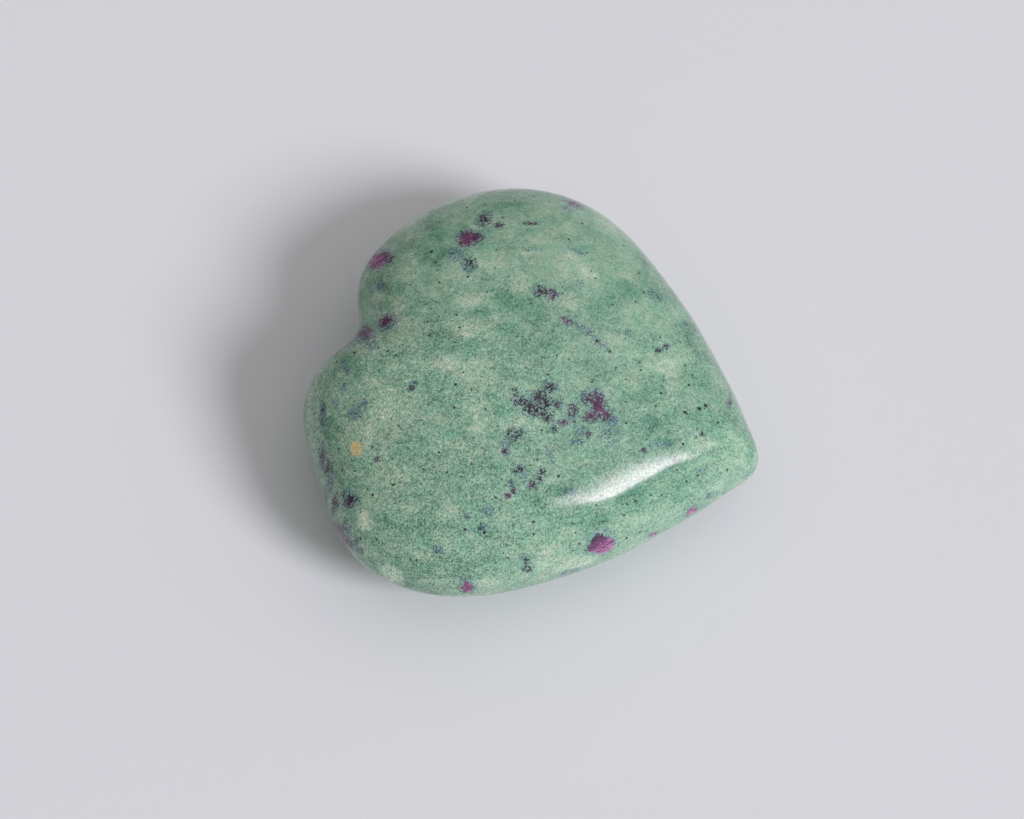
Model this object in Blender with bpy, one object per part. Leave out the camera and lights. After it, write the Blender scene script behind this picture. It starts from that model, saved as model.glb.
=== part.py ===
"""Polished puffy heart of ruby in fuchsite, carved from one piece of stone.

Metres, +Z up.  The heart lies on a small flat in the middle of its underside, with its
tip towards -Y and its cleft towards +Y.  The origin is the middle of that flat.
"""

import math

import bmesh
import bpy
import numpy as np

MM = 0.001

# Plan outline: radius from the heart's middle, in millimetres, at stations from the tip
# round to the cleft.  Both sides share it before the hand-carved differences.
OUTLINE = (
    31.7,   # tip, at 0 degrees
    30.2,   # shoulder of the blunt tip, at 6
    28.1,   # 15
    26.1,   # 28
    25.3,   # flank where it comes nearest the middle, at 45
    26.4,   # 66
    30.5,   # 90
    33.1,   # widest part, at 114
    32.5,   # side of the lobe, at 135
    31.1,   # top of the lobe, at 152
    29.0,   # 165
    26.1,   # wall of the cleft, at 174
    25.4,   # bottom of the cleft, at 180
)
GATHERING = 0.6         # how far the stations gather at the tip and the cleft, 0 to 1

# Hand-carved differences between the two sides, in millimetres and degrees.
SIDE_LEAN = 0.87        # the -X side stands this much further out, and the +X side in
SHOULDER_LEAN = 0.17    # the -X flank is this much fuller and the -X lobe smaller
FLAT_PLACE = -135.0     # angle of the flat ground on the -X lobe
FLAT_SPREAD = 12.0
FLAT_DEPTH = 1.85

# Section: the domes above and below the girdle, which is the widest level.
UPPER_DOME = 12.6       # height of the upper dome
LOWER_DOME = 11.0       # depth of the lower dome before its flat is ground
REST_FLAT = 0.5         # depth ground off the underside, which leaves a flat of about 20 mm
GIRDLE_HEIGHT = LOWER_DOME - REST_FLAT
PLAN_FULLNESS = 2.3     # 2 is an ellipse, and more is a squarer shoulder
RISE_FULLNESS = 2.15
CROWN_SOFTENING = 25.0  # degrees that the tip, flat and cleft are softened over at the crown

SPHERE_STEPS = 5        # icosphere subdivisions, 5,120 triangles

STONE_COLOUR = (0.227, 0.351, 0.258, 1.0)
STONE_ROUGHNESS = 0.15


def clear_scene():
    """Remove the objects that a new file starts with."""
    for item in list(bpy.data.objects):
        bpy.data.objects.remove(item, do_unlink=True)


def gathered(turn):
    """Angles in radians moved towards the tip and the cleft, where the outline bends most."""
    return turn - 0.5 * GATHERING * np.sin(2.0 * turn)


def outline_waves():
    """Cosine terms of the smooth even curve that passes through the outline's stations."""
    order = np.arange(len(OUTLINE))
    turns = np.linspace(0.0, math.pi, len(OUTLINE))
    return np.linalg.solve(np.cos(np.outer(turns, order)), OUTLINE)


def plan_radius(turn, softening):
    """Radius in millimetres before the section shrinks it, with fine features softened.

    turn is the ungathered angle from the tip in radians, and softening goes from 0 at the
    girdle to 1 at the crown.
    """
    waves = outline_waves()
    order = np.arange(len(waves))
    spread = math.radians(CROWN_SOFTENING)
    soft_waves = waves * np.exp(-0.5 * (order * spread) ** 2)
    terms = np.cos(np.outer(turn, order))
    radius = terms @ waves * (1.0 - softening) + terms @ soft_waves * softening

    angle = gathered(turn)
    radius -= SIDE_LEAN * np.sin(angle)
    radius -= SHOULDER_LEAN * np.sin(2.0 * angle)
    from_flat = (np.degrees(angle) - FLAT_PLACE) / FLAT_SPREAD
    radius -= FLAT_DEPTH * np.exp(-0.5 * from_flat ** 2) * (1.0 - softening)
    return radius


def heart_points(directions):
    """Points in metres on the heart's surface, for unit directions from its middle."""
    turn = np.arctan2(directions[:, 0], -directions[:, 1])
    rise = directions[:, 2].clip(-1.0, 1.0)
    reach = np.sqrt(1.0 - rise ** 2)

    radius = plan_radius(turn, rise ** 2) * reach ** (2.0 / PLAN_FULLNESS)
    dome = np.where(rise > 0.0, UPPER_DOME, -LOWER_DOME)
    height = GIRDLE_HEIGHT + dome * np.abs(rise) ** (2.0 / RISE_FULLNESS)
    height = height.clip(0.0, None)

    angle = gathered(turn)
    return np.stack([radius * np.sin(angle), -radius * np.cos(angle), height], axis=1) * MM


def join_resting_flat(mesh):
    """Make one face of the triangles that lie on the ground."""
    level = 0.001 * MM
    flat = [face for face in mesh.faces if all(abs(v.co.z) < level for v in face.verts)]
    bmesh.ops.dissolve_faces(mesh, faces=flat, use_verts=True)


def stone_material():
    """Sage green polished stone."""
    material = bpy.data.materials.new("polished_stone")
    material.use_nodes = True
    shader = material.node_tree.nodes["Principled BSDF"]
    shader.inputs["Base Color"].default_value = STONE_COLOUR
    shader.inputs["Roughness"].default_value = STONE_ROUGHNESS
    shader.inputs["Metallic"].default_value = 0.0
    return material


def make_heart(collection):
    """The carved heart, one closed solid."""
    shape = bmesh.new()
    bmesh.ops.create_icosphere(shape, subdivisions=SPHERE_STEPS, radius=1.0)
    directions = np.array([vertex.co.normalized() for vertex in shape.verts])
    for vertex, point in zip(shape.verts, heart_points(directions)):
        vertex.co = point
    join_resting_flat(shape)

    mesh = bpy.data.meshes.new("heart_stone")
    shape.to_mesh(mesh)
    shape.free()
    mesh.shade_smooth()
    mesh.set_sharp_from_angle(angle=math.radians(30.0))
    mesh.materials.append(stone_material())

    heart = bpy.data.objects.new("heart_stone", mesh)
    collection.objects.link(heart)
    return heart


def main():
    clear_scene()
    collection = bpy.data.collections.new("ruby_in_fuchsite_heart")
    bpy.context.scene.collection.children.link(collection)
    make_heart(collection)


main()
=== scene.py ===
"""Looks of the polished ruby in fuchsite heart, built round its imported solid.

The frame is in metres with +Z up.  The heart's own sizes below are in millimetres, and places
read off the photograph are in its pixels, x to the right and y down.
"""

import math

import bpy
import numpy as np
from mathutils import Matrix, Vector
from mathutils.bvhtree import BVHTree


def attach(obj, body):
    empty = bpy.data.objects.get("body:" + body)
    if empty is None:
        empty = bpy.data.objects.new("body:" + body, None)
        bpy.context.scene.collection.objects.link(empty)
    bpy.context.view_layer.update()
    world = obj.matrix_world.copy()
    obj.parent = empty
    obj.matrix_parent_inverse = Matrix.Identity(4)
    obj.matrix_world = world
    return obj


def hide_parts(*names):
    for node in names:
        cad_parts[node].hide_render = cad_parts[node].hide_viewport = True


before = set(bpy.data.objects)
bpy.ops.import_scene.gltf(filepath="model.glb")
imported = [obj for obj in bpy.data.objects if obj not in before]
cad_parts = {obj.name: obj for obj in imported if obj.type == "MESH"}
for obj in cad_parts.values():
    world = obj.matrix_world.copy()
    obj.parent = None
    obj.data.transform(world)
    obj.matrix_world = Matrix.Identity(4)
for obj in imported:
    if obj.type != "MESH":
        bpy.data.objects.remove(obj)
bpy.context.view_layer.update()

MM = 0.001

# The heart's form, as the solid's source has it, in millimetres and degrees.
OUTLINE = (
    31.7,   # tip, at 0 degrees
    30.2,   # shoulder of the blunt tip, at 6
    28.1,   # 15
    26.1,   # 28
    25.3,   # flank where it comes nearest the middle, at 45
    26.4,   # 66
    30.5,   # 90
    33.1,   # widest part, at 114
    32.5,   # side of the lobe, at 135
    31.1,   # top of the lobe, at 152
    29.0,   # 165
    26.1,   # wall of the cleft, at 174
    25.4,   # bottom of the cleft, at 180
)
GATHERING = 0.6
SIDE_LEAN = 0.87
SHOULDER_LEAN = 0.17
FLAT_PLACE = -135.0
FLAT_SPREAD = 12.0
FLAT_DEPTH = 1.85
UPPER_DOME = 12.6
LOWER_DOME = 11.0
REST_FLAT = 0.5
GIRDLE_HEIGHT = LOWER_DOME - REST_FLAT
PLAN_FULLNESS = 2.3
RISE_FULLNESS = 2.15
CROWN_SOFTENING = 25.0

# The polished surface, which is finer than the solid and lies just inside it.
CUBE_STEPS = 128        # squares along each side of the cube that is blown up to the heart
POLISH_LOSS = 0.09      # depth of the surface below the solid's own curve
WAVE_DEPTH = 0.01       # the hand polish leaves waves this deep
WAVE_COUNT = 40
WAVE_LENGTHS = (5.0, 14.0)
WAVE_SEED = 11
ON_GROUND = 1e-6        # points lower than this belong to the resting flat
MAP_FILL = 0.985        # how much of its half of the bake map each side fills

# The photograph's view.
IMAGE_WIDTH = 1024
IMAGE_HEIGHT = 819
FOCAL_PIXELS = 3000.0
SENSOR_WIDTH = 36.0
VIEW_AZIMUTH = -70.4
VIEW_ELEVATION = 59.5
VIEW_DISTANCE = 400.0
HEART_RIGHT_OF_AIM = 2.6
HEART_BEYOND_AIM = 2.19
CLIP_RANGE = (0.01, 20.0)
PIXELS_PER_MM = FOCAL_PIXELS / VIEW_DISTANCE
LEAST_FORESHORTENING = 0.35     # marks near the edge are stretched no more than this allows

# Ruby crystals: x, y, half length, half width, tilt in degrees and how bright from 0 to 1.
RUBIES = (
    (377, 260, 11, 8, 35, 0.7),
    (386, 257, 6, 6, 30, 0.35),
    (467, 588, 6, 6, 0, 0.62),
    (691.6, 511, 6, 3, 35, 0.75),
    (337, 528, 3.5, 7, 25, 0.5),
    (345, 541, 3.5, 8, 35, 0.45),
    (652.3, 535, 4, 2, 30, 0.7),
    (573.8, 203.4, 7, 3, -25, 0.5),
    (467, 238, 9, 8, 20, 0.45),
    (476, 238, 6, 6, 0, 0.3),
    (484, 220, 6, 5, 30, 0.2),
    (498, 224.7, 4, 2.5, 0, 0.25),
    (530, 223.5, 5, 1.5, 0, 0.2),
    (541.7, 291.8, 6, 4.5, -20, 0.15),
    (552.6, 294.1, 5, 4, -20, 0.35),
    (386, 321.7, 8, 5, 20, 0.42),
    (364, 332.5, 7.5, 5.5, 15, 0.38),
    (567.5, 320.6, 6, 3.5, -10, 0.4),
    (659, 350, 3.5, 2, 25, 0.15),
    (666, 346.5, 3, 1.8, 25, 0.2),
    (412, 386.5, 4, 2.5, 40, 0.25),
    (415.5, 383, 2.5, 2, 40, 0.3),
    (377.7, 458.7, 3.2, 2, 40, 0.25),
    (350.5, 500.5, 6.5, 4.5, 35, 0.25),
    (515, 434, 5.5, 4.5, 0, 0.1),
    (505.8, 450.8, 2.8, 5, 0, 0.25),
    (518.8, 469.2, 4.5, 2.5, 15, 0.1),
    (541.6, 472, 3, 3.5, 0, 0.08),
    (540, 479.5, 2.5, 3, 0, 0.08),
    (531.8, 485.5, 4, 2.5, 10, 0.3),
    (511.2, 482, 2.5, 1.8, 0, 0.1),
    (513.4, 490.4, 2.5, 3, 0, 0.3),
    (507.4, 496, 3, 2, 0, 0.35),
    (597.5, 404, 6.5, 12, 8, 0.38),
    (588, 398, 4, 5, -20, 0.25),
    (592, 416, 7.5, 4.5, 15, 0.34),
    (606, 415, 6, 5, 30, 0.36),
    (573.6, 408.5, 3.6, 4.8, 0, 0.3),
    (570.5, 414.5, 2.2, 2, 0, 0.2),
    (563.8, 423, 3.5, 2.8, 0, 0.35),
    (554, 429, 2.6, 3.5, 0, 0.2),
    (588.2, 434, 2.8, 3.4, 0, 0.3),
    (702, 434, 2, 1.6, 0, 0.1),
    (322, 457, 3, 7, 0, 0.1),
    (327.5, 469, 3.5, 6, -15, 0.03),
    (334, 504, 2.5, 8, -15, 0.1),
    (523, 402.5, 8, 4.5, -15, 0.18),
    (533, 408.5, 9, 6.5, -10, 0.12),
    (539.4, 396.5, 6, 6, 0, 0.12),
    (546, 402, 4.5, 4, 0, 0.12),
    (546, 415, 6.5, 4, -35, 0.12),
    (556.8, 404, 4.5, 3.8, 0, 0.22),
    (549.7, 386.3, 5.8, 4, -10, 0.08),
    (513.4, 389.5, 2.2, 2, 0, 0.02),
    (471, 262, 3, 6, 35, 0.02),
    (528, 569, 3.6, 3, 0, 0.15),
    (527, 562, 2.6, 4, 0, 0.1),
    (480, 528, 3, 2, 40, 0.1),
    (729.7, 403, 2, 4, -20, 0.3),
    (643, 450, 2.5, 2, 0, 0.3),
    (465, 530, 2, 1.8, 0, 0.05),
    (470, 240, 5, 1.8, 25, 0.7),
)

# The one crystal with straight sides, by its corners.
LARGE_RUBY = ((597.3, 534), (614.7, 539.2), (613.7, 549.4), (602.4, 555.5), (586.6, 551.4), (590.7, 541.2))
LARGE_RUBY_TONE = 0.62
LARGE_RUBY_FADE = 0.32  # its upper left corner is this much darker, and its lower right brighter
LARGE_RUBY_HALF = 9.0   # pixels from its middle to where that is reached

# Soft stains, read as the rubies are: x, y, half length, half width, tilt and strength, where 1 is
# the usual full stain.
BLUE_STAINS = (
    (588, 549, 4, 8, -10, 0.5),
    (606.5, 531, 6, 3, -20, 0.5),
    (618, 543, 3, 6, 0, 0.35),
    (480, 236.7, 6, 7, 0, 0.6),
    (485.4, 216, 10, 7, 20, 0.55),
    (456, 255, 10, 9, 0, 0.5),
    (467, 266, 6, 10, 35, 0.75),
    (381, 286.5, 6, 5, 0, 0.7),
    (353.5, 343, 9, 4, 40, 0.5),
    (371, 345, 8, 6, 0, 0.45),
    (585, 329, 12, 4.5, -25, 0.55),
    (597, 341, 14, 4.5, -38, 0.45),
    (609, 351, 5, 3, -40, 0.5),
    (579, 284, 8, 6, 0, 0.25),
    (546, 293, 13, 9, -20, 0.35),
    (654.7, 294, 11, 7, -40, 0.4),
    (628, 332, 5, 8, 30, 0.3),
    (684, 324, 4, 2.5, 10, 0.7),
    (575, 250, 14, 3, -30, 0.4),
    (531, 249.4, 8, 3, 0, 0.3),
    (344.5, 386.5, 4, 4, 0, 0.5),
    (335.3, 403, 5, 4, 40, 0.5),
    (364, 403, 4.5, 5, 20, 0.8),
    (356, 413, 10, 7, 30, 0.7),
    (322.5, 414, 4.5, 14, 0, 0.85),
    (345, 366.7, 5, 9, 30, 0.55),
    (323, 460, 5, 12, 0, 0.7),
    (331, 480, 5, 12, -15, 0.55),
    (346, 494, 7, 7, 0, 0.6),
    (334, 510, 4, 12, -20, 0.9),
    (326, 490, 4, 12, -18, 0.8),
    (345, 532, 3.5, 11, -32, 0.8),
    (354, 543, 3.5, 8, -42, 0.7),
    (359.7, 550.8, 5, 4, -30, 0.8),
    (414.8, 418, 9, 6, 0, 0.2),
    (438, 550, 6, 5, 0, 0.75),
    (466, 517, 6, 4, 0, 0.5),
    (489.5, 510.6, 8, 7, 0, 0.45),
    (483, 526, 6, 5, 40, 0.5),
    (481, 528, 5, 3, 40, 0.6),
    (523, 558, 7, 5, -30, 0.5),
    (505.8, 447, 6, 9, 0, 0.55),
    (515, 469, 7, 5, 0, 0.4),
    (524, 476.3, 5, 5, -30, 0.6),
    (533, 481, 7, 7, 0, 0.25),
    (512, 488, 6, 7, 0, 0.35),
    (550, 453, 5, 9, 0, 0.5),
    (585, 395, 6, 6, 0, 0.5),
    (595, 393, 10, 6, 0, 0.65),
    (612, 420, 8, 7, -30, 0.85),
    (570, 417, 9, 9, 30, 0.45),
    (574, 411, 6, 8, 0, 0.35),
    (554, 430, 6, 5, 20, 0.45),
    (581.7, 430, 6, 7, 0, 0.5),
    (576.8, 441.6, 8, 4, 0, 0.6),
    (610, 436, 16, 12, -15, 0.3),
    (545, 410, 18, 13, 0, 0.15),
    (729.7, 400, 3, 8, -20, 0.45),
    (667.7, 443.4, 7, 5, 0, 0.3),
    (657, 445, 10, 4, 0, 0.5),
    (702, 472, 8, 4, 10, 0.45),
    (709, 496, 8, 4, 30, 0.45),
    (570, 491, 8, 4, 20, 0.5),
    (568, 209, 9, 4, -20, 0.5),
    (568, 572, 12, 3, 18, 0.5),
    (664, 348, 8, 4, 20, 0.35),
    (386, 323, 13, 9, 20, 0.7),
    (364, 334, 12, 9, 15, 0.85),
    (412, 386, 7, 6, 0, 0.3),
    (515, 435, 7, 6, 0, 0.35),
)

# Paler patches of the green rock, read the same way. The broad ones further down are painted light that
# lightens the left side and the top.
PALE_PATCHES_AND_PAINTED_LIGHT = (
    (476, 332, 22, 8, -12, 0.55),
    (440, 325, 14, 8, 0, 0.35),
    (472, 300, 18, 8, 0, 0.35),
    (490, 266, 13, 8, 0, 0.4),
    (521, 283, 12, 11, 0, 0.65),
    (445, 364, 14, 7, 0, 0.4),
    (530, 254, 16, 5, 0, 0.4),
    (421, 308, 8, 6, 0, 0.3),
    (448, 224, 10, 6, 20, 0.4),
    (470, 198, 12, 4, 10, 0.35),
    (525, 194, 12, 4, 0, 0.35),
    (378, 298, 12, 6, 0, 0.9),
    (380, 392, 22, 14, 0, 0.35),
    (490, 384, 12, 8, 0, 0.3),
    (586, 271, 16, 5, -30, 0.6),
    (570, 254, 14, 4, -25, 0.45),
    (541, 243, 12, 4, 0, 0.3),
    (606, 224, 17, 5, -38, 0.55),
    (570, 301, 10, 8, 0, 0.4),
    (668, 367, 13, 13, 0, 0.4),
    (690, 358, 7, 5, 0, 0.4),
    (612, 356, 10, 7, 0, 0.35),
    (514, 420, 15, 9, 0, 0.45),
    (478, 430, 12, 10, 0, 0.3),
    (403, 476, 8, 14, 0, 0.45),
    (364, 520, 9, 13, 15, 1.3),
    (391, 575, 15, 9, -35, 1.7),
    # Painted light: broad pale patches that lighten the left side and the top of the stone.
    (378, 420, 26, 70, 0, 0.42),
    (392, 330, 26, 40, 0, 0.40),
    (400, 268, 22, 26, 0, 0.30),
    (530, 222, 70, 26, 0, 0.22),
    (412, 508, 14, 8, 0, 0.3),
    (440, 512, 14, 8, 0, 0.3),
    (444, 545, 16, 8, 0, 0.25),
    (484, 583, 12, 5, 12, 0.65),
    (340, 430, 10, 14, 0, 0.3),
    (548, 477, 10, 8, 0, 0.35),
    (474, 454, 12, 8, 0, 0.25),
    (672, 386, 10, 7, 0, 0.4),
    (632, 523, 26, 9, 22, 0.35),
    (576, 564, 26, 6, 18, 0.8),
    (552, 499, 8, 6, 0, 0.3),
    (740, 468, 14, 8, 30, 0.35),
    (634, 386, 12, 8, 0, 0.3),
    (622, 420, 14, 8, 0, 0.2),
    (599, 532, 5, 2.5, 10, 0.8),
    (472.8, 226.5, 5, 3, 0, 0.9),
    (650, 540, 20, 5, 24, 0.35),
    (412, 262, 10, 9, 0, 0.35),
    (427, 266, 6, 6, 0, 0.45),
    (339, 375, 4, 3, 0, 0.6),
    (700, 445, 12, 8, 0, 0.2),
    (505, 400, 10, 6, 0, 0.25),
)

# Deeper green patches.
GREEN_PATCHES = (
    (412, 310, 13, 6, 10, 0.45),
    (474, 312, 20, 6, 0, 0.5),
    (466, 350, 22, 13, 0, 0.5),
    (506, 328, 16, 8, 0, 0.45),
    (448, 253, 16, 5, 0, 0.6),
    (396, 288, 12, 9, 0, 0.45),
    (530, 318, 18, 8, 0, 0.4),
    (440, 214, 24, 12, 20, 0.35),
    (512, 208, 24, 8, 0, 0.35),
    (552, 247, 14, 4, -10, 0.35),
    (430, 262, 12, 8, 0, 0.4),
    (488, 247, 16, 7, 0, 0.4),
    (503, 298, 12, 8, 0, 0.55),
    (552, 342, 16, 8, 0, 0.3),
    (426, 381, 10, 8, 0, 0.3),
    (548, 366, 14, 8, 0, 0.25),
    (628, 290, 16, 9, -30, 0.35),
    (617, 286, 6, 4, 0, 0.5),
    (596, 311, 12, 8, 0, 0.35),
    (657, 311, 14, 8, -40, 0.4),
    (688, 328, 12, 9, -50, 0.4),
    (600, 380, 12, 9, 0, 0.3),
    (706, 384, 14, 16, -50, 0.35),
    (508, 411, 12, 8, 0, 0.75),
    (488, 468, 20, 9, 0, 0.45),
    (480, 508, 30, 12, 0, 0.4),
    (532, 500, 18, 9, 0, 0.4),
    (428, 540, 10, 8, 0, 0.35),
    (484, 531, 12, 7, 0, 0.45),
    (448, 430, 12, 8, 0, 0.3),
    (448, 391, 14, 8, 0, 0.25),
    (706, 420, 26, 14, -20, 0.4),
    (668, 442, 7, 6, 0, 0.6),
    (558, 490, 12, 6, 0, 0.4),
    (632, 495, 20, 7, 22, 0.55),
    (640, 502, 8, 5, 0, 0.5),
    (574, 520, 16, 7, 10, 0.35),
    (650, 424, 14, 10, 0, 0.35),
    (670, 466, 14, 5, 25, 0.4),
    (330, 365, 10, 12, 40, 0.3),
    (470, 488, 16, 8, 0, 0.3),
    (600, 520, 12, 6, 15, 0.3),
    (400, 350, 12, 8, 0, 0.25),
    (520, 232, 16, 6, 0, 0.3),
    (590, 232, 12, 6, -35, 0.35),
    (640, 262, 14, 7, -45, 0.25),
)

# Painted shade: broad darker areas, and dark lines inside the lower left rim, which are a painted
# reflection of the dim room there.
PAINTED_SHADE_PATCHES = (
    (327, 497, 3, 15, -18, 0.7),
    (342, 527, 3, 13, -28, 1.4),
    (352, 546, 3, 8, -42, 0.6),
    (440, 566, 60, 20, -8, 0.35),
    (500, 552, 60, 22, 8, 0.3),
    (420, 590, 40, 14, -10, 0.4),
    (702, 345, 14, 44, 30, 0.5),
    (735, 410, 12, 40, 25, 0.45),
    (660, 280, 14, 40, 35, 0.4),
    (560, 318, 60, 22, 0, 0.2),
    (625, 460, 125, 75, 25, 0.34),
    (440, 505, 95, 70, 0, 0.28),
    (470, 332, 50, 20, 0, 0.15),
)

# Parts of the rim that shine less.
DULL_PATCHES = (
    (364, 300, 12, 16, 0, 1.0),
    (368, 275, 12, 14, 0, 1.0),
    (376, 255, 16, 12, 35, 1.0),
    (394, 236, 16, 12, 40, 1.0),
    (416, 215, 18, 12, 40, 0.9),
    (440, 199, 18, 10, 25, 0.7),
    (366, 322, 12, 14, 0, 1.0),
    (360, 338, 14, 12, 40, 1.0),
    (342, 356, 12, 12, 50, 0.9),
    (326, 382, 10, 14, 70, 0.7),
)

# Spots of tan iron stain.
TAN_SPOTS = (
    (355.8, 448.3, 6.6, 8.4, 0, 1.0),
    (359, 453, 2.5, 3.5, 0, 0.8),
    (535, 388.5, 9, 4, 0, 0.35),
)

# Single dark grains: x, y and radius.
BLACK_GRAINS = (
    (484.8, 532.6, 2.2), (495, 413.4, 1.9), (535.6, 450.3, 1.4), (541.6, 430.2, 1.4), (492.8, 473.6, 1.3),
    (626.2, 423, 1.5), (620.2, 412.3, 1.5), (533.4, 521.8, 1.6), (533.4, 534.3, 1.4), (538.7, 514.7, 1.3),
    (572.3, 523.4, 1.8), (574.9, 532.6, 1.2), (626.6, 538.2, 1.7), (354.5, 352.6, 1.9), (361, 360, 1.4),
    (388, 351, 1.8), (419.6, 391.5, 1.8), (377.7, 420, 1.6), (391.5, 419, 1.3), (363, 445, 1.6),
    (361, 458.6, 1.5), (338.4, 448.6, 1.6), (379.9, 449.2, 1.4), (421.9, 437, 1.7), (354.5, 471.5, 1.3),
    (373.7, 485, 1.5), (372.8, 495, 1.8), (384, 561.5, 2.2), (385.7, 519, 2.0), (475.7, 259, 1.6),
    (468, 277, 1.8), (431.5, 251.7, 2.4), (456.7, 314.8, 1.8), (517, 306.8, 2.0), (511.3, 300.5, 1.8),
    (563.5, 286.7, 1.6), (597, 341, 2.4), (561.2, 317.3, 1.6), (609.9, 351.5, 2.0), (705.6, 405.4, 2.4),
    (699.4, 408.6, 2.2), (685, 412, 2.0), (683, 444, 1.6), (635.3, 501.2, 1.8), (697.6, 475.5, 1.4),
    (635.5, 302, 1.8), (603.5, 324.5, 1.8), (461.5, 408, 1.6), (410, 285, 1.4), (685, 365.5, 1.7),
    (692.5, 375, 1.6), (656, 406, 1.4), (588.5, 308.5, 1.3), (557, 355.5, 1.4), (537, 356.5, 1.3),
    (702, 434, 1.7), (424, 582.5, 1.8), (416.5, 560, 1.5), (507, 545.5, 1.5),
    (495, 575.5, 1.2), (487.5, 575, 1.2), (440, 468, 1.3), (437, 473.5, 1.2), (466.5, 502.5, 1.5),
    (386, 428, 1.3), (727, 470, 1.6), (677, 470, 1.5), (651, 495.5, 1.6), (661.5, 495.5, 1.4),
    (624, 515.5, 1.4), (538.5, 500.5, 1.3), (523.5, 482, 1.2), (348, 344, 1.4), (512, 365, 1.3),
)


def gathered(turn):
    """Angles in radians moved towards the tip and the cleft, where the outline bends most."""
    return turn - 0.5 * GATHERING * np.sin(2.0 * turn)


def outline_waves():
    """Cosine terms of the smooth even curve that passes through the outline's stations."""
    order = np.arange(len(OUTLINE))
    turns = np.linspace(0.0, math.pi, len(OUTLINE))
    return np.linalg.solve(np.cos(np.outer(turns, order)), OUTLINE)


def plan_radius(turn, softening):
    """Radius before the section shrinks it, with the fine features softened at the crown."""
    waves = outline_waves()
    order = np.arange(len(waves))
    spread = math.radians(CROWN_SOFTENING)
    soft_waves = waves * np.exp(-0.5 * (order * spread) ** 2)
    terms = np.cos(np.outer(turn, order))
    radius = terms @ waves * (1.0 - softening) + terms @ soft_waves * softening

    angle = gathered(turn)
    radius -= SIDE_LEAN * np.sin(angle)
    radius -= SHOULDER_LEAN * np.sin(2.0 * angle)
    from_flat = (np.degrees(angle) - FLAT_PLACE) / FLAT_SPREAD
    radius -= FLAT_DEPTH * np.exp(-0.5 * from_flat ** 2) * (1.0 - softening)
    return radius


def heart_points(directions):
    """Points on the heart's surface, for unit directions from its middle."""
    turn = np.arctan2(directions[:, 0], -directions[:, 1])
    rise = directions[:, 2].clip(-1.0, 1.0)
    reach = np.sqrt(1.0 - rise ** 2)

    radius = plan_radius(turn, rise ** 2) * reach ** (2.0 / PLAN_FULLNESS)
    dome = np.where(rise > 0.0, UPPER_DOME, -LOWER_DOME)
    height = GIRDLE_HEIGHT + dome * np.abs(rise) ** (2.0 / RISE_FULLNESS)
    height = height.clip(0.0, None)

    angle = gathered(turn)
    return np.stack([radius * np.sin(angle), -radius * np.cos(angle), height], axis=1)


def cube_sphere(steps):
    """Unit directions and squares of a cube's surface blown up to a sphere."""
    line = np.tan(np.linspace(-0.25, 0.25, steps + 1) * math.pi)
    across, up = np.meshgrid(line, line, indexing="ij")
    one = np.ones_like(across)
    sides = (
        (across, up, one),
        (up, across, -one),
        (one, across, up),
        (-one, up, across),
        (up, one, across),
        (across, -one, up),
    )
    corners = np.concatenate([np.stack(side, axis=-1).reshape(-1, 3) for side in sides])
    corners /= np.linalg.norm(corners, axis=1, keepdims=True)
    _, first, shared = np.unique(corners.round(6), axis=0, return_index=True, return_inverse=True)

    cells = np.arange((steps + 1) ** 2).reshape(steps + 1, steps + 1)
    square = np.stack([cells[:-1, :-1], cells[1:, :-1], cells[1:, 1:], cells[:-1, 1:]], axis=-1)
    square = square.reshape(-1, 4)
    squares = np.concatenate([square + side * cells.size for side in range(len(sides))])
    return corners[first], shared.reshape(-1)[squares]


def vertex_normals(mesh):
    """The mesh's vertex normals as an array."""
    normals = np.zeros(len(mesh.vertices) * 3)
    mesh.vertices.foreach_get("normal", normals)
    return normals.reshape(-1, 3)


def bake_places(directions, squares):
    """Map places for each square's corners: the upper side above, the underside below.

    Each side is spread evenly over its half of the map, with the girdle round the half's edge.
    """
    reach = np.sqrt(1.0 - np.abs(directions[:, 2]).clip(0.0, 1.0))
    turned = (np.arctan2(directions[:, 1], directions[:, 0]) + math.pi / 4.0) % (2.0 * math.pi)
    quarter = np.floor(turned / (math.pi / 2.0)).astype(int) % 4
    within = (turned - quarter * math.pi / 2.0) / (math.pi / 4.0) - 1.0
    side = reach * within
    u = np.choose(quarter, [reach, -side, -reach, side])
    v = np.choose(quarter, [side, reach, -side, -reach])

    upper = directions[squares, 2].mean(axis=1) > 0.0
    u = (0.5 + 0.5 * MAP_FILL * u)[squares]
    v = (0.25 + 0.25 * MAP_FILL * v)[squares] + 0.5 * upper[:, None]
    return np.stack([u, v], axis=-1).ravel()


def polish_waves(points):
    """Depth from 0 to 1 of the shallow waves that hand polishing leaves."""
    chance = np.random.default_rng(WAVE_SEED)
    total = np.zeros(len(points))
    for _ in range(WAVE_COUNT):
        way = chance.normal(size=3)
        way /= np.linalg.norm(way)
        length = chance.uniform(*WAVE_LENGTHS)
        total += np.sin(points @ way * 2.0 * math.pi / length + chance.uniform(0.0, 2.0 * math.pi))
    return (0.5 + 0.5 * total / np.abs(total).max()).clip(0.0, 1.0)


def make_stone():
    """The polished surface of the heart, one closed mesh."""
    directions, squares = cube_sphere(CUBE_STEPS)
    points = heart_points(directions)
    mesh = bpy.data.meshes.new("heart_stone_polished")
    mesh.from_pydata((points * MM).tolist(), [], squares.tolist())
    mesh.update()

    depth = POLISH_LOSS + WAVE_DEPTH * polish_waves(points)
    on_ground = points[:, 2] < ON_GROUND
    points -= vertex_normals(mesh) * depth[:, None]
    points[on_ground, 2] = 0.0
    points[:, 2] = points[:, 2].clip(0.0, None)
    mesh.vertices.foreach_set("co", (points * MM).ravel())
    mesh.shade_smooth()
    mesh.update()
    layer = mesh.uv_layers.new(name="OFBake")
    layer.uv.foreach_set("vector", bake_places(directions, squares).astype(np.float32))

    stone = bpy.data.objects.new("heart_stone_polished", mesh)
    bpy.context.scene.collection.objects.link(stone)
    return stone


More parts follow.
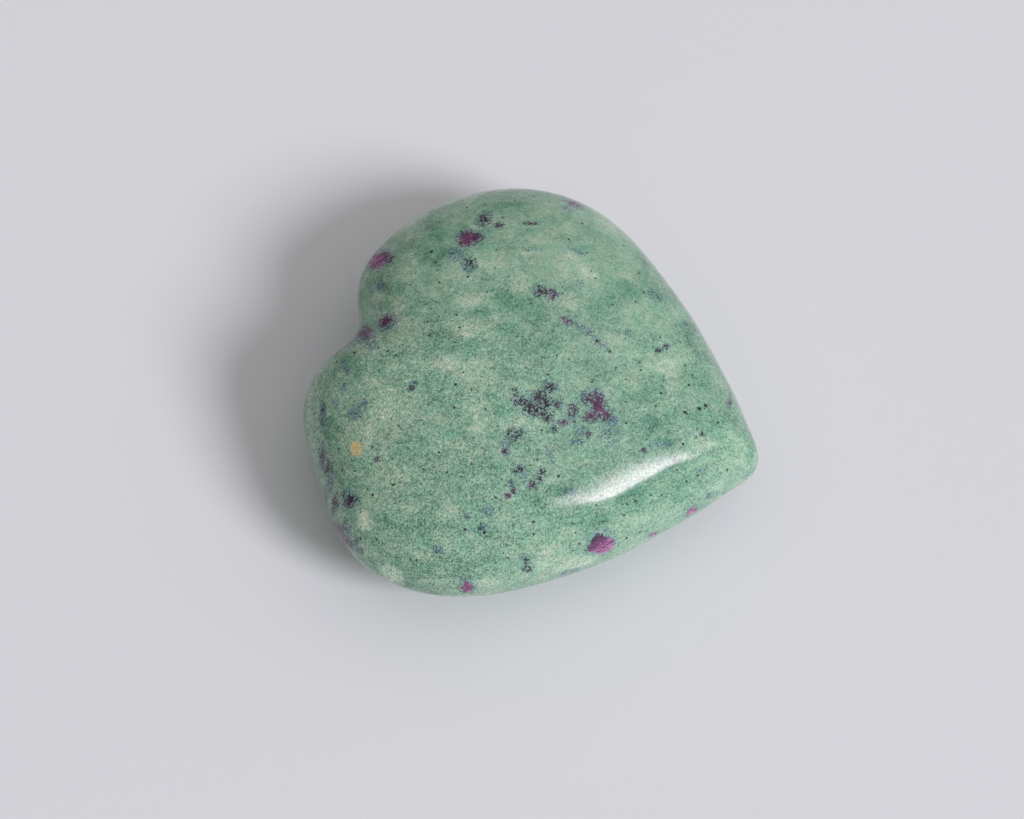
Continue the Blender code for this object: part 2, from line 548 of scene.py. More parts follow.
def view_axes():
    """Right, ahead along the floor, back and up in the photograph's view, as unit vectors."""
    turn = math.radians(VIEW_AZIMUTH)
    lift = math.radians(VIEW_ELEVATION)
    right = np.array([math.cos(turn), math.sin(turn), 0.0])
    ahead = np.array([-math.sin(turn), math.cos(turn), 0.0])
    back = -ahead * math.cos(lift) + np.array([0.0, 0.0, math.sin(lift)])
    return right, ahead, back, np.cross(back, right)


def camera_place():
    """Where the camera stands, in millimetres."""
    right, ahead, back, _ = view_axes()
    aim = -right * HEART_RIGHT_OF_AIM - ahead * HEART_BEYOND_AIM + np.array([0.0, 0.0, GIRDLE_HEIGHT])
    return aim + back * VIEW_DISTANCE


class Marker:
    """Finds the places on the stone that the photograph's pixels show, and marks them."""

    def __init__(self, mesh):
        self.mesh = mesh
        self.points = np.zeros(len(mesh.vertices) * 3)
        mesh.vertices.foreach_get("co", self.points)
        self.points = self.points.reshape(-1, 3) / MM
        self.normals = vertex_normals(mesh)
        squares = [tuple(face.vertices) for face in mesh.polygons]
        self.tree = BVHTree.FromPolygons(self.points.tolist(), squares)
        self.eye = camera_place()

    def spot(self, x, y):
        """The surface point and normal that a pixel shows, or the nearest to a near miss."""
        right, _, back, up = view_axes()
        offset = right * (x - IMAGE_WIDTH / 2.0) + up * (IMAGE_HEIGHT / 2.0 - y)
        ray = offset / FOCAL_PIXELS - back
        ray /= np.linalg.norm(ray)
        place, _, face, _ = self.tree.ray_cast(Vector(self.eye), Vector(ray))
        if place is None:
            passing = self.eye + ray * np.dot(self.points.mean(axis=0) - self.eye, ray)
            place, _, face, _ = self.tree.find_nearest(Vector(passing))
        corners = list(self.mesh.polygons[face].vertices)
        normal = self.normals[corners].mean(axis=0)
        return np.array(place), normal / np.linalg.norm(normal)

    def offsets(self, place, normal):
        """Each point's offset from a spot, in photograph pixels right and down, and its depth in mm.

        The offsets lie in the surface, so a mark keeps its shape seen from any side, with what the
        view foreshortens stretched back.
        """
        right, _, back, up = view_axes()
        level = np.cross(normal, back)
        if np.linalg.norm(level) < 1e-4:
            level = right
        level = level / np.linalg.norm(level)
        slope = np.cross(normal, level)
        squeeze = max(abs(float(np.dot(normal, back))), LEAST_FORESHORTENING)
        slope_seen = np.array([slope @ right, slope @ up])
        slope_seen *= squeeze / max(np.linalg.norm(slope_seen), 1e-6)
        level_seen = np.array([level @ right, level @ up])

        pixels_per_mm = FOCAL_PIXELS / np.linalg.norm(self.eye - place)
        gap = self.points - place
        seen = np.outer(gap @ level, level_seen) + np.outer(gap @ slope, slope_seen)
        seen *= pixels_per_mm
        return seen[:, 0], -seen[:, 1], np.abs(gap @ normal)

    def oval(self, mark_place, half_length, half_width, tilt):
        """How far inside an oval each point is: 1 in its middle, 0 at its edge, less outside."""
        x, y, depth = self.offsets(*mark_place)
        lean = math.radians(tilt)
        along = (x * math.cos(lean) - y * math.sin(lean)) / half_length
        across = (x * math.sin(lean) + y * math.cos(lean)) / half_width
        inside = 1.0 - np.hypot(along, across)
        return np.where(depth < MARK_REACH, inside, OUT_OF_REACH)

    def write(self, name, values):
        """Keep a value for each point under a name that the material reads."""
        layer = self.mesh.attributes.new(name, "FLOAT", "POINT")
        layer.data.foreach_set("value", np.asarray(values, dtype=np.float32))


FAR_OUTSIDE = -3.0          # millimetres that stand for no mark nearby
MARK_REACH = 3.0            # a mark stays this near the plane that touches the stone at its middle
OUT_OF_REACH = -9.0         # what stands for further away, in sizes of the mark
USUAL_TONE = 0.3            # a ruby's brightness where none is near
LEAST_LOOSE = 0.45          # how ragged the clean bright rubies are
MOST_LOOSE = 2.2            # and the dark speckled ones
DARK_TO_CLEAN = (0.1, 0.75)     # from the dark ones' brightness to the clean ones'
LEAST_RUBY_DEPTH = 0.62     # small rubies count as this deep, so that the noise leaves them whole
STAIN_SPREAD = 1.25         # a stain's faint edge reaches this much past its oval
STAIN_STEEPNESS = 1.6       # more makes its full part wider
FACING_AWAY = -0.08         # cosine to the camera below which a side counts as hidden

# The marks on the hidden sides: how many, their seed, and their half lengths in pixels.
HIDDEN_RUBIES = (46, 21, (2.0, 9.0))

# Each kind of soft mark, stains and dull patches along with the painted light of the pale patches and the
# painted shade: the visible ones, and the same three values for the hidden ones.
STAINS_AND_PAINTED_SHADING = {
    "blue_stain": (BLUE_STAINS, 50, 31, (4.0, 14.0)),
    "pale_stain_and_painted_light": (PALE_PATCHES_AND_PAINTED_LIGHT, 40, 32, (8.0, 26.0)),
    "green_stain": (GREEN_PATCHES, 40, 33, (8.0, 26.0)),
    "tan_stain": (TAN_SPOTS, 1, 34, (4.0, 8.0)),
    "dull_stain": (DULL_PATCHES, 6, 35, (8.0, 16.0)),
    "painted_shade": (PAINTED_SHADE_PATCHES, 12, 36, (12.0, 40.0)),
}


def hidden_places(marker, count, seed):
    """Spots over the sides that the photograph doesn't show, and the generator that chose them."""
    _, _, back, _ = view_axes()
    chance = np.random.default_rng(seed)
    hidden = np.flatnonzero(marker.normals @ back < FACING_AWAY)
    chosen = chance.choice(hidden, size=count, replace=False)
    return [(marker.points[index], marker.normals[index]) for index in chosen], chance


def polygon_depth(x, y, corners):
    """Pixels inside a many-sided outline whose corners go round with the clock."""
    depth = np.full(len(x), np.inf)
    for (ax, ay), (bx, by) in zip(corners, corners[1:] + corners[:1]):
        length = math.hypot(bx - ax, by - ay)
        depth = np.minimum(depth, ((bx - ax) * (y - ay) - (by - ay) * (x - ax)) / length)
    return depth


class RubyField:
    """Depth in millimetres inside the nearest ruby, its brightness and how ragged it is."""

    def __init__(self, marker):
        self.marker = marker
        self.depth = np.full(len(marker.points), FAR_OUTSIDE)
        self.tone = np.full(len(marker.points), USUAL_TONE)
        self.loose = np.full(len(marker.points), 1.0)

    def add(self, inside, brightness, looseness):
        """Add a ruby by how deep inside it each point is."""
        nearer = inside > self.depth
        self.depth[nearer] = inside[nearer]
        self.tone[nearer] = np.broadcast_to(brightness, self.tone.shape)[nearer]
        self.loose[nearer] = looseness

    def add_oval(self, place, half_length, half_width, tilt, brightness):
        """Add a rounded ruby, which is the more ragged the darker it is."""
        size = max(min(half_length, half_width) / PIXELS_PER_MM, LEAST_RUBY_DEPTH)
        inside = self.marker.oval(place, half_length, half_width, tilt)
        looseness = float(np.interp(brightness, DARK_TO_CLEAN, (MOST_LOOSE, LEAST_LOOSE)))
        self.add(inside * size, brightness, looseness)

    def add_large(self):
        """Add the crystal with straight sides."""
        middle = np.mean(LARGE_RUBY, axis=0)
        x, y, from_surface = self.marker.offsets(*self.marker.spot(*middle))
        corners = [(cx - middle[0], cy - middle[1]) for cx, cy in LARGE_RUBY]
        inside = polygon_depth(x, y, corners) / PIXELS_PER_MM
        inside = np.where(from_surface < MARK_REACH, inside, FAR_OUTSIDE)
        fade = ((0.6 * x + y) / LARGE_RUBY_HALF).clip(-1.0, 1.0) * LARGE_RUBY_FADE
        self.add(inside, LARGE_RUBY_TONE + fade, LEAST_LOOSE)

    def write(self):
        """Keep the three values under the names that the material reads."""
        self.marker.write("ruby_depth", self.depth.clip(FAR_OUTSIDE, None))
        self.marker.write("ruby_tone", self.tone)
        self.marker.write("ruby_loose", self.loose)


def mark_rubies(marker):
    """The rubies that the photograph shows, and more of them on the hidden sides."""
    field = RubyField(marker)
    for x, y, half_length, half_width, tilt, brightness in RUBIES:
        field.add_oval(marker.spot(x, y), half_length, half_width, tilt, brightness)
    field.add_large()

    count, seed, half_lengths = HIDDEN_RUBIES
    places, chance = hidden_places(marker, count, seed)
    for place in places:
        half = chance.uniform(*half_lengths)
        slim = half * chance.uniform(0.5, 1.0)
        field.add_oval(place, half, slim, chance.uniform(0.0, 180.0), chance.uniform(0.0, 0.9))
    field.write()


def softened(inside):
    """From 0 at an oval's edge to 1 well inside it, with no kink."""
    fade = (inside * STAIN_STEEPNESS).clip(0.0, 1.0)
    return fade * fade * (3.0 - 2.0 * fade)


def mark_stains_and_painted_shading(marker, name):
    """Strength of one kind of soft mark, on the visible sides and the hidden ones: stains, dull patches,
    painted light and painted shade.
    """
    visible, count, seed, half_lengths = STAINS_AND_PAINTED_SHADING[name]
    strength = np.zeros(len(marker.points))
    for x, y, half_length, half_width, tilt, most in visible:
        place = marker.spot(x, y)
        inside = marker.oval(place, half_length * STAIN_SPREAD, half_width * STAIN_SPREAD, tilt)
        strength = np.maximum(strength, most * softened(inside))

    places, chance = hidden_places(marker, count, seed)
    for place in places:
        half = chance.uniform(*half_lengths)
        inside = marker.oval(place, half, half * chance.uniform(0.4, 0.9), chance.uniform(0.0, 180.0))
        most = chance.uniform(0.25, 0.7)
        strength = np.maximum(strength, most * softened(inside))
    marker.write(name, strength)


def mark_grains(marker):
    """Depth in millimetres inside single dark grains."""
    depth = np.full(len(marker.points), FAR_OUTSIDE)
    for x, y, radius in BLACK_GRAINS:
        place, _ = marker.spot(x, y)
        gap = np.linalg.norm(marker.points - place, axis=1)
        depth = np.maximum(depth, radius / PIXELS_PER_MM - gap)
    marker.write("grain_depth", depth.clip(FAR_OUTSIDE, None))


class Graph:
    """Short names for the nodes of one material and the links between them."""

    def __init__(self, tree):
        self.tree = tree

    def node(self, kind, settings=None, **inputs):
        """A node with its own settings, and with values or links for its inputs.

        An input goes by its name, or by its number as i0, i1 and so on.
        """
        made = self.tree.nodes.new("ShaderNode" + kind)
        for name, value in (settings or {}).items():
            setattr(made, name, value)
        for name, value in inputs.items():
            label = int(name[1:]) if name[1:].isdigit() else name
            self.fill(made.inputs[label], value)
        return made

    def fill(self, socket, value):
        """Set a socket's value, or link an output to it."""
        if isinstance(value, bpy.types.NodeSocket):
            self.tree.links.new(value, socket)
        else:
            socket.default_value = value

    def math(self, operation, a, b=0.0, c=0.0):
        return self.node("Math", {"operation": operation}, i0=a, i1=b, i2=c).outputs[0]

    def vector(self, operation, a, b=None, scale=None):
        made = self.node("VectorMath", {"operation": operation}, i0=a)
        if b is not None:
            self.fill(made.inputs[1], b)
        if scale is not None:
            self.fill(made.inputs["Scale"], scale)
        return made.outputs["Value"] if operation == "DOT_PRODUCT" else made.outputs[0]

    def noise(self, place, scale, detail, roughness):
        made = self.node("TexNoise", Vector=place, Scale=scale, Detail=detail, Roughness=roughness)
        return made.outputs["Fac"]

    def cells(self, place, scale):
        """Two random values for each cell, and the distance to the cell's middle in cells."""
        made = self.node("TexVoronoi", Vector=place, Scale=scale)
        chosen = self.node("SeparateColor", i0=made.outputs["Color"])
        return chosen.outputs[0], chosen.outputs[1], made.outputs["Distance"]

    def range(self, value, low, high, to_low=0.0, to_high=1.0, smooth=True):
        made = self.node("MapRange", {"interpolation_type": "SMOOTHSTEP" if smooth else "LINEAR"},
                         i0=value, i1=low, i2=high, i3=to_low, i4=to_high)
        return made.outputs[0]

    def ramp(self, value, stops):
        made = self.node("ValToRGB", i0=value)
        ramp = made.color_ramp
        while len(ramp.elements) < len(stops):
            ramp.elements.new(0.5)
        for element, (place, _) in zip(ramp.elements, stops):
            element.position = place
        for element, (_, colour) in zip(ramp.elements, stops):
            element.color = colour
        return made.outputs[0]

    def greys(self, value, stops):
        """A ramp of plain greys, from each stop's place and brightness."""
        return self.ramp(value, [(place, (grey, grey, grey, 1.0)) for place, grey in stops])

    def mix(self, factor, a, b, blend="MIX"):
        made = self.node("Mix", {"data_type": "RGBA", "blend_type": blend}, i0=factor)
        self.fill(made.inputs[6], a)
        self.fill(made.inputs[7], b)
        return made.outputs[2]

    def attribute(self, name):
        return self.node("Attribute", {"attribute_name": name}).outputs["Fac"]


LIFT = 1.38             # white paper in the photograph is darker than white by about this much
STRIPE_LEAN = 33.0      # the rubies' stripes rise to the right in the picture by these degrees

# Contrasts against 1 elsewhere, and the millimetres to the right or ahead that they change over.
EVEN_RIGHT_SIDE = 0.74  # the whole pattern, on the right
RIGHT_SIDE = (-10.0, 14.0)
EVEN_NEAR_SIDE = 0.74   # the patches, on the near side
NEAR_SIDE = (-24.0, -2.0)
SOFT_FAR_SIDE = 0.42    # the grain, on the far side
FAR_SIDE = (-6.0, 24.0)

# The polish: roughness at its best and how much it varies, specular levels and fine relief.
BEST_POLISH = 0.045
UNEVEN_POLISH = 0.05
FULL_SHINE = 0.5
DULL_SHINE = 0.06
STONE_IOR = 1.52
RELIEF_STRENGTH = 0.018
RELIEF_DISTANCE = 0.0002    # in metres

LAYER_TILT = 0.3        # how far the rock's layers fall towards the viewer
ALONG_LAYERS = 0.8      # the pattern is stretched along the layers and squeezed across them
ACROSS_LAYERS = 1.6


def paint(red, green, blue):
    """A colour as the photograph shows it, from 0 to 255, as the surface's own colour."""
    values = []
    for value in (red, green, blue):
        part = value / 255.0
        linear = part / 12.92 if part <= 0.04045 else ((part + 0.055) / 1.055) ** 2.4
        values.append(min(linear * LIFT, 1.0))
    return (*values, 1.0)


def layered_place(g, place):
    """The place along, across and between the rock's layers, which lie nearly level.

    The scales pull the pattern out along the layers, so that it follows the heart's contours.
    """
    right, ahead, _, _ = view_axes()
    across = LAYER_TILT * ahead + np.array([0.0, 0.0, 1.0])
    across /= np.linalg.norm(across)
    third = np.cross(across, right)
    return g.node(
        "CombineXYZ",
        X=g.math("MULTIPLY", g.vector("DOT_PRODUCT", place, tuple(right)), ALONG_LAYERS),
        Y=g.math("MULTIPLY", g.vector("DOT_PRODUCT", place, tuple(across)), ACROSS_LAYERS),
        Z=g.vector("DOT_PRODUCT", place, tuple(third)),
    ).outputs[0]


def weighted_sum(g, parts):
    """A value round 0.5 from values round 0.5, each with its weight."""
    total = 0.5
    for value, weight in parts:
        total = g.math("MULTIPLY_ADD", g.math("SUBTRACT", value, 0.5), weight, total)
    return total


def small_grain(g, shaken, fine, grain, mottle):
    """The fine share of the rock's pattern, round 0: grain with pale and dark flakes in it."""
    pale_flake, _ = scattered_grains(g, shaken, 1.5, (4.4, 6.1, 2.7), -0.25, 0.24)
    dark_flake, _ = scattered_grains(g, shaken, 1.4, (9.6, 0.7, 5.2), -0.25, 0.26)
    pale_dot, _ = scattered_grains(g, shaken, 2.9, (1.3, 7.7, 8.9), -0.08, 0.11)
    small = weighted_sum(g, ((fine, 0.96), (grain, 0.50), (mottle, 0.30)))
    small = g.math("MULTIPLY_ADD", g.range(pale_flake, -0.06, 0.08), 0.075, small)
    small = g.math("MULTIPLY_ADD", g.range(dark_flake, -0.06, 0.08), -0.085, small)
    small = g.math("MULTIPLY_ADD", g.range(pale_dot, -0.03, 0.03), 0.10, small)
    return g.math("SUBTRACT", small, 0.5)


def side_contrasts(g, place):
    """How strong the whole pattern, its patches and its grain are at each place."""
    right, ahead, _, _ = view_axes()
    to_right = g.vector("DOT_PRODUCT", place, tuple(right))
    to_far = g.vector("DOT_PRODUCT", place, tuple(ahead))
    even = g.range(to_right, *RIGHT_SIDE, 1.0, EVEN_RIGHT_SIDE)
    near = g.range(to_far, *NEAR_SIDE, EVEN_NEAR_SIDE, 1.0)
    crisp = g.range(to_far, *FAR_SIDE, 1.0, SOFT_FAR_SIDE)
    return even, near, crisp


def rock_tint(g, bent, patches, flake, pale, green):
    """A tint that goes from bluish to warm across the rock."""
    hue = g.noise(g.vector("ADD", bent, (9.0, 2.0, 6.0)), 0.45, 5.0, 0.85)
    hue = weighted_sum(g, ((hue, 1.15), (flake, 0.10), (patches, 0.50)))
    hue = g.math("MULTIPLY_ADD", g.math("MINIMUM", pale, 0.6), 0.20, hue)
    hue = g.math("MULTIPLY_ADD", green, -0.34, hue)
    return g.ramp(hue, (
        (0.1, (0.70, 0.99, 0.95, 1.0)),
        (0.5, (0.98, 1.00, 1.00, 1.0)),
        (0.9, (1.30, 1.00, 1.01, 1.0)),
    ))


def rock_colour(g, place, layered, shaken):
    """Green mica rock: soft patches and faint streaks, with flakes and single grains, and painted light
    and painted shade laid into the colour.
    """
    warp = g.node("TexNoise", Vector=place, Scale=0.16, Detail=2.0)
    centred = g.vector("SUBTRACT", warp.outputs["Color"], (0.5, 0.5, 0.5))
    bent = g.vector("ADD", layered, g.vector("SCALE", centred, scale=5.0))
    patches = g.noise(bent, 0.22, 2.0, 0.6)
    streaks = g.noise(bent, 0.9, 3.0, 0.75)
    mottle = g.noise(place, 1.6, 3.0, 0.8)
    fine = g.noise(place, 6.0, 2.0, 1.0)
    grain, flake, _ = g.cells(place, 6.2)
    large_grain, _, _ = g.cells(g.vector("ADD", layered, (2.0, 5.0, 1.0)), 2.4)

    uneven = g.range(mottle, 0.36, 0.64, 0.45, 1.55)
    # The pale patches carry painted light on the left side and the top as well as paler rock.
    pale = g.math("MULTIPLY", g.attribute("pale_stain_and_painted_light"), uneven)
    green = g.math("MULTIPLY", g.attribute("green_stain"), uneven)
    even, near, crisp = side_contrasts(g, place)
    small = g.math("MULTIPLY", small_grain(g, shaken, fine, grain, mottle), crisp)

    total = weighted_sum(g, ((patches, 0.72), (streaks, 0.50), (large_grain, 0.14)))
    total = g.math("MULTIPLY_ADD", g.math("SUBTRACT", total, 0.5), near, small)
    total = g.math("MULTIPLY_ADD", total, even, 0.5)
    # The pale patches lighten the colour, partly as painted light; the painted shade darkens it.
    total = g.math("MULTIPLY_ADD", pale, 0.22, total)
    total = g.math("MULTIPLY_ADD", green, -0.20, total)
    total = g.math("MULTIPLY_ADD", g.attribute("painted_shade"), -0.30, total)
    body = g.ramp(total, (
        (0.02, paint(56, 74, 66)),
        (0.17, paint(77, 108, 93)),
        (0.34, paint(101, 135, 114)),
        (0.50, paint(124, 155, 133)),
        (0.66, paint(142, 170, 148)),
        (0.82, paint(160, 184, 162)),
        (0.98, paint(190, 205, 184)),
    ))

    tint = rock_tint(g, bent, patches, flake, pale, green)
    return g.mix(1.0, body, tint, "MULTIPLY"), mottle, fine


def blue_stains(g, body, place, fine, broken):
    """Bluish grey stains round the rubies and by themselves."""
    value, pick, _ = g.cells(place, 5.0)
    rim = g.range(g.math("MULTIPLY_ADD", broken, 1.0, g.attribute("ruby_depth")), -0.75, 0.0)
    strength = g.math("MAXIMUM", g.attribute("blue_stain"), g.math("MULTIPLY", rim, 0.45))
    cover = g.math("MULTIPLY_ADD", broken, 2.6, strength)
    cover = g.math("MULTIPLY_ADD", g.math("SUBTRACT", value, 0.5), 0.75, cover)
    cover = g.math("MULTIPLY", g.range(cover, 0.08, 0.75), g.range(strength, 0.02, 0.25))
    colour = g.ramp(weighted_sum(g, ((pick, 0.8), (fine, 1.3))), (
        (0.20, paint(24, 32, 52)),
        (0.42, paint(60, 82, 102)),
        (0.62, paint(92, 122, 132)),
        (0.9, paint(122, 150, 154)),
    ))
    return g.mix(g.math("MULTIPLY", cover, 0.9), body, colour)


def rubies(g, body, place, shaken, ragged, broken):
    """Rubies, from speckled near black through purple to clean magenta."""
    value, pick, _ = g.cells(place, 4.6)
    tone = g.attribute("ruby_tone")
    right, _, _, up = view_axes()
    lean = math.radians(STRIPE_LEAN)
    across = g.vector("DOT_PRODUCT", place, tuple(up * math.cos(lean) - right * math.sin(lean)))
    along = g.vector("DOT_PRODUCT", place, tuple(up * math.sin(lean) + right * math.cos(lean)))
    striped = g.node("CombineXYZ", X=across, Y=g.math("MULTIPLY", along, 0.15)).outputs[0]
    stripes = g.math("SUBTRACT", g.noise(striped, 3.2, 2.0, 0.8), 0.5)
    shade = g.math("MULTIPLY", stripes, 2.2)
    shade = g.math("MULTIPLY_ADD", g.math("SUBTRACT", pick, 0.5), 0.5, shade)
    shade = g.math("MULTIPLY_ADD", broken, 1.1, shade)
    shade = g.math("MULTIPLY_ADD", shade, g.math("ADD", tone, 0.25), tone)
    colour = g.ramp(shade, (
        (0.0, paint(18, 18, 28)),
        (0.2, paint(48, 30, 52)),
        (0.42, paint(84, 38, 74)),
        (0.7, paint(122, 60, 106)),
        (1.0, paint(164, 106, 150)),
    ))
    loose = g.attribute("ruby_loose")
    edge = g.math("MULTIPLY_ADD", ragged, g.math("MULTIPLY", loose, 0.35), g.attribute("ruby_depth"))
    edge = g.math("MULTIPLY_ADD", broken, g.math("MULTIPLY", loose, 0.85), edge)
    edge = g.math("MULTIPLY_ADD", g.math("SUBTRACT", value, 0.5), g.math("MULTIPLY", loose, 0.50), edge)
    _, _, from_clump = g.cells(shaken, 2.7)
    clump = g.math("SUBTRACT", 0.44, from_clump)
    edge = g.math("MULTIPLY_ADD", clump, g.math("MULTIPLY", loose, 0.42), edge)
    cover = g.range(edge, -0.06, 0.10)
    return g.mix(g.math("MULTIPLY", cover, 0.95), body, colour), cover


def scattered_grains(g, place, scale, offset, smallest, largest):
    """Depth in millimetres inside loose grains, one chance of a grain in each cell."""
    moved = g.vector("ADD", place, offset)
    value, pick, gap = g.cells(moved, scale)
    radius = g.range(value, 0.0, 1.0, smallest, largest, smooth=False)
    return g.math("SUBTRACT", radius, g.math("DIVIDE", gap, scale)), pick


def tan_spots(g, body, broken, fine):
    """Tan iron stain with paler grain in it."""
    tan = g.math("MULTIPLY_ADD", broken, 1.5, g.attribute("tan_stain"))
    colour = g.ramp(fine, ((0.36, paint(152, 114, 66)), (0.64, paint(244, 212, 158))))
    return g.mix(g.math("MULTIPLY", g.range(tan, 0.2, 0.8), 0.95), body, colour)


def dark_grains(g, body, shaken, broken):
    """Olive, near black and brown grains of three sizes."""
    dark, dark_pick = scattered_grains(g, shaken, 0.95, (0.0, 0.0, 0.0), -0.11, 0.20)
    olive, _ = scattered_grains(g, shaken, 1.3, (7.3, 1.9, 4.1), -0.08, 0.15)
    dark = g.math("MAXIMUM", dark, g.attribute("grain_depth"))
    dark = g.math("MULTIPLY_ADD", broken, 0.34, dark)
    olive_cover = g.range(g.math("MULTIPLY_ADD", broken, 0.2, olive), -0.04, 0.05)
    body = g.mix(g.math("MULTIPLY", olive_cover, 0.7), body, paint(74, 90, 66))
    colour = g.ramp(dark_pick, (
        (0.0, paint(30, 34, 34)),
        (0.5, paint(48, 52, 46)),
        (0.8, paint(58, 46, 42)),
        (1.0, paint(66, 76, 54)),
    ))
    body = g.mix(g.range(dark, -0.03, 0.04), body, colour)
    tiny, _ = scattered_grains(g, shaken, 2.3, (5.1, 3.3, 9.4), -0.10, 0.09)
    return g.mix(g.math("MULTIPLY", g.range(tiny, -0.02, 0.03), 0.75), body, paint(62, 62, 52))


def polish(g, shader, place, mottle, fine, ruby_cover):
    """A glossy hand polish, uneven with the grain, a little duller on rubies and parts of the rim."""
    rough = g.math("MULTIPLY_ADD", fine, UNEVEN_POLISH, BEST_POLISH)
    rough = g.math("MULTIPLY_ADD", g.math("SUBTRACT", mottle, 0.5), UNEVEN_POLISH, rough)
    rough = g.math("MULTIPLY_ADD", ruby_cover, UNEVEN_POLISH, rough)
    g.fill(shader.inputs["Roughness"], rough)
    shine = g.range(g.attribute("dull_stain"), 0.0, 1.0, FULL_SHINE, DULL_SHINE, smooth=False)
    g.fill(shader.inputs["Specular IOR Level"], shine)
    shader.inputs["IOR"].default_value = STONE_IOR
    relief, _, _ = g.cells(place, 4.2)
    height = g.math("MULTIPLY_ADD", relief, 0.4, fine)
    bump = g.node("Bump", Strength=RELIEF_STRENGTH, Distance=RELIEF_DISTANCE, Height=height)
    g.fill(shader.inputs["Normal"], bump.outputs[0])


def stone_material():
    """Polished ruby in fuchsite, all from nodes."""
    material = bpy.data.materials.new("polished_ruby_in_fuchsite")
    material.use_nodes = True
    shader = material.node_tree.nodes["Principled BSDF"]
    g = Graph(material.node_tree)

    coordinates = g.node("TexCoord").outputs["Object"]
    place = g.vector("SCALE", coordinates, scale=1.0 / MM)
    layered = layered_place(g, place)

    ragged = g.math("SUBTRACT", g.noise(place, 2.6, 2.0, 0.8), 0.5)
    broken = g.math("SUBTRACT", g.noise(place, 6.5, 2.0, 0.9), 0.5)
    shaken = g.node("TexNoise", Vector=place, Scale=4.5, Detail=1.0).outputs["Color"]
    shaken = g.vector("SCALE", g.vector("SUBTRACT", shaken, (0.5, 0.5, 0.5)), scale=0.35)
    shaken = g.vector("ADD", place, shaken)

    body, mottle, fine = rock_colour(g, place, layered, shaken)
    body = blue_stains(g, body, place, fine, broken)
    body = tan_spots(g, body, broken, fine)
    # Painted glints: pale flecks in the colour that stand for the mica's sparkle, along with pale grains.
    glint, _ = scattered_grains(g, shaken, 2.0, (3.1, 8.7, 2.2), -0.12, 0.08)
    body = g.mix(g.math("MULTIPLY", g.range(glint, -0.02, 0.03), 0.8), body, paint(206, 214, 190))
    body, ruby_cover = rubies(g, body, place, shaken, ragged, broken)
    body = dark_grains(g, body, shaken, broken)
    g.fill(shader.inputs["Base Color"], body)
    polish(g, shader, place, mottle, fine, ruby_cover)
    return material


def make_camera():
    """The camera at the photograph's viewing angle."""
    _, _, back, _ = view_axes()
    data = bpy.data.cameras.new("camera")
    data.sensor_width = SENSOR_WIDTH
    data.lens = SENSOR_WIDTH * FOCAL_PIXELS / IMAGE_WIDTH
    data.clip_start, data.clip_end = CLIP_RANGE
    camera = bpy.data.objects.new("camera", data)
    camera.location = camera_place() * MM
    camera.rotation_mode = "QUATERNION"
    camera.rotation_quaternion = Vector(-back).to_track_quat("-Z", "Y")
    bpy.context.scene.collection.objects.link(camera)
    bpy.context.scene.camera = camera


FLOOR_SIZE = 8.0
PAPER_COLOUR = (0.80, 0.79, 0.815, 1.0)
PAPER_ROUGHNESS = 0.95
PAPER_SHINE = 0.2


def make_floor():
    """A plain pale floor."""
    bpy.ops.mesh.primitive_plane_add(size=FLOOR_SIZE, location=(0.0, 0.0, 0.0))
    floor = bpy.context.object
    floor.name = "floor"
    material = bpy.data.materials.new("pale_paper")
    material.use_nodes = True
    shader = material.node_tree.nodes["Principled BSDF"]
    shader.inputs["Base Color"].default_value = PAPER_COLOUR
    shader.inputs["Roughness"].default_value = PAPER_ROUGHNESS
    shader.inputs["Specular IOR Level"].default_value = PAPER_SHINE
    floor.data.materials.append(material)


LIGHT_DISTANCE = 6.0

# Directions in degrees: from the picture's right, below 0 towards the viewer, and up from the floor.
KEY_AZIMUTH = -38.5
KEY_ELEVATION = 35.0
KEY_WIDTH = 2.1
KEY_POWER = 256.0
KEY_COLOUR = (0.98, 0.985, 1.05)

BOX_AZIMUTH = -37.7
BOX_ELEVATION = 44.5
BOX_SIZE = (2.45, 3.35)
BOX_POWER = 340.0
BOX_COLOUR = (1.04, 0.84, 0.98)

# The lower edge of the box's lit part, cut away at one corner and drawn down at the other:
# shares of the width, and of the height there.
BOX_LOWER_EDGE = ((0.0, 0.55), (0.3, 0.23), (0.85, 0.21), (1.0, 0.0))

# Its brightness by the height above that edge, and towards its two ends: between which shares of
# the width it changes, and from and to which brightness.
BOX_FADE = ((0.0, 0.0), (0.07, 1.0), (0.25, 1.0), (0.42, 0.6), (0.6, 0.25), (0.82, 0.05))
BOX_FIRST_END = (0.0, 0.22, 0.3, 1.0)
BOX_LAST_END = (0.8, 1.0, 1.0, 0.7)

# The room's brightness from its dim low left side, at 0, to its top right, at 1, and how much the
# way to the right and the way up count in that.
ROOM_BRIGHTNESS = ((0.0, 0.04), (0.2, 0.08), (0.45, 0.19), (0.6, 0.31), (0.86, 0.60), (1.0, 0.70))
ROOM_SPAN = (-0.5, 0.9)
RIGHT_SHARE = 0.3
UP_SHARE = 0.7


def area_light(name, azimuth, elevation, size, power, colour):
    """A light on its own direction from the heart, turned to face it."""
    right, ahead, _, _ = view_axes()
    turn = math.radians(azimuth)
    lift = math.radians(elevation)
    way = (right * math.cos(turn) + ahead * math.sin(turn)) * math.cos(lift)
    way = way + np.array([0.0, 0.0, math.sin(lift)])
    data = bpy.data.lights.new(name, "AREA")
    data.shape = "RECTANGLE"
    data.size, data.size_y = size
    data.energy = power
    data.color = colour
    light = bpy.data.objects.new(name, data)
    light.location = way * LIGHT_DISTANCE
    light.rotation_mode = "QUATERNION"
    light.rotation_quaternion = Vector(way).to_track_quat("Z", "Y")
    bpy.context.scene.collection.objects.link(light)
    return light


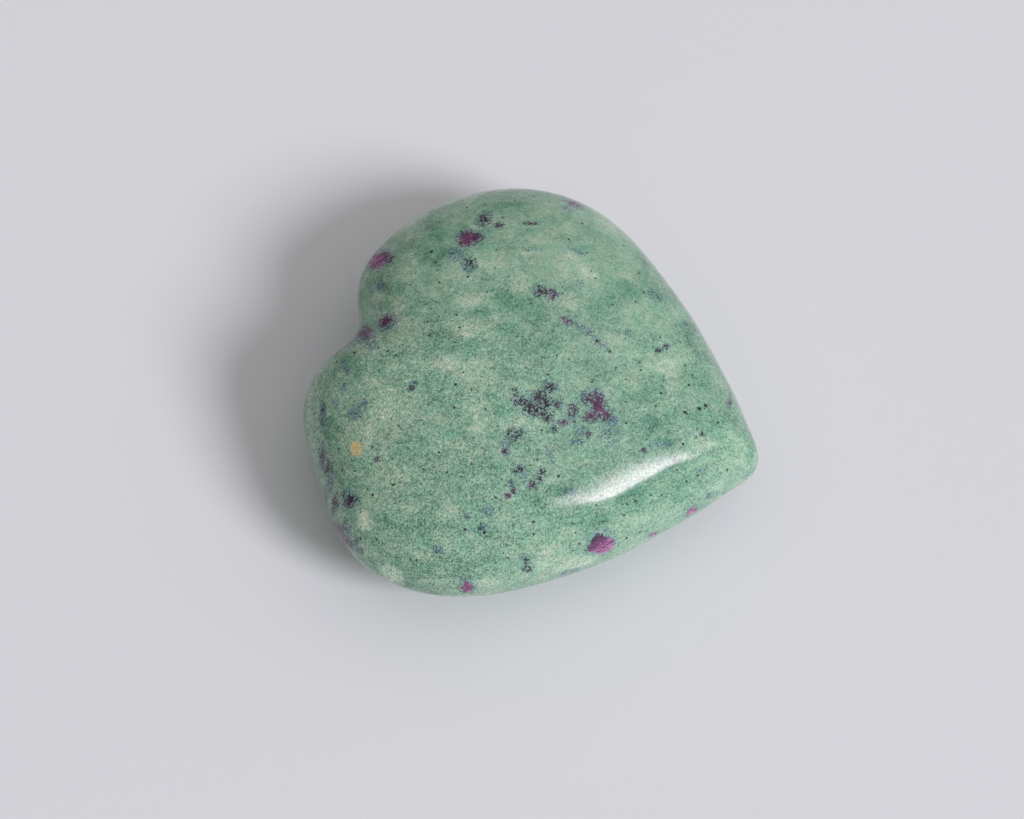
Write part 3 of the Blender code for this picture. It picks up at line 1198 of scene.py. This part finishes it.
def box_brightness(g):
    """How bright each part of the soft box is, above its cut lower edge."""
    spread = g.node("SeparateXYZ", i0=g.node("NewGeometry").outputs["Parametric"])
    across = spread.outputs[0]
    above_edge = g.math("SUBTRACT", spread.outputs[1], g.greys(across, BOX_LOWER_EDGE))
    fade = g.math("MULTIPLY", g.greys(above_edge, BOX_FADE), g.range(across, *BOX_LAST_END))
    return g.math("MULTIPLY", fade, g.range(across, *BOX_FIRST_END))


def make_lights():
    """A key light that throws the shadow, and a soft box that shines in the polish."""
    key_size = (KEY_WIDTH, KEY_WIDTH)
    key = area_light("key_light", KEY_AZIMUTH, KEY_ELEVATION, key_size, KEY_POWER, KEY_COLOUR)
    key.data.shape = "ELLIPSE"
    key.visible_glossy = False
    box = area_light("soft_box", BOX_AZIMUTH, BOX_ELEVATION, BOX_SIZE, BOX_POWER, BOX_COLOUR)
    box.visible_diffuse = False
    box.data.use_nodes = True
    g = Graph(box.data.node_tree)
    g.fill(box.data.node_tree.nodes["Emission"].inputs["Strength"], box_brightness(g))


def make_surroundings():
    """Soft light from a pale room that is dimmer low on the left."""
    right, _, _, _ = view_axes()
    world = bpy.data.worlds.new("pale_room")
    bpy.context.scene.world = world
    world.use_nodes = True
    g = Graph(world.node_tree)
    way = g.node("TexCoord").outputs["Generated"]
    side = g.vector("DOT_PRODUCT", way, tuple(right))
    height = g.node("SeparateXYZ", i0=way).outputs[2]
    bright = g.math("ADD", g.math("MULTIPLY", side, RIGHT_SHARE), g.math("MULTIPLY", height, UP_SHARE))
    level = g.greys(g.range(bright, *ROOM_SPAN, smooth=False), ROOM_BRIGHTNESS)
    background = world.node_tree.nodes["Background"]
    g.fill(background.inputs["Color"], level)
    background.inputs["Strength"].default_value = 1.0


def main():
    make_camera()
    make_floor()
    make_lights()
    make_surroundings()
    bpy.context.scene.view_settings.view_transform = "Standard"

    stone = make_stone()
    marker = Marker(stone.data)
    mark_rubies(marker)
    mark_grains(marker)
    for name in STAINS_AND_PAINTED_SHADING:
        mark_stains_and_painted_shading(marker, name)
    stone.data.materials.append(stone_material())
    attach(stone, "root")
    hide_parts("heart_stone")


main()
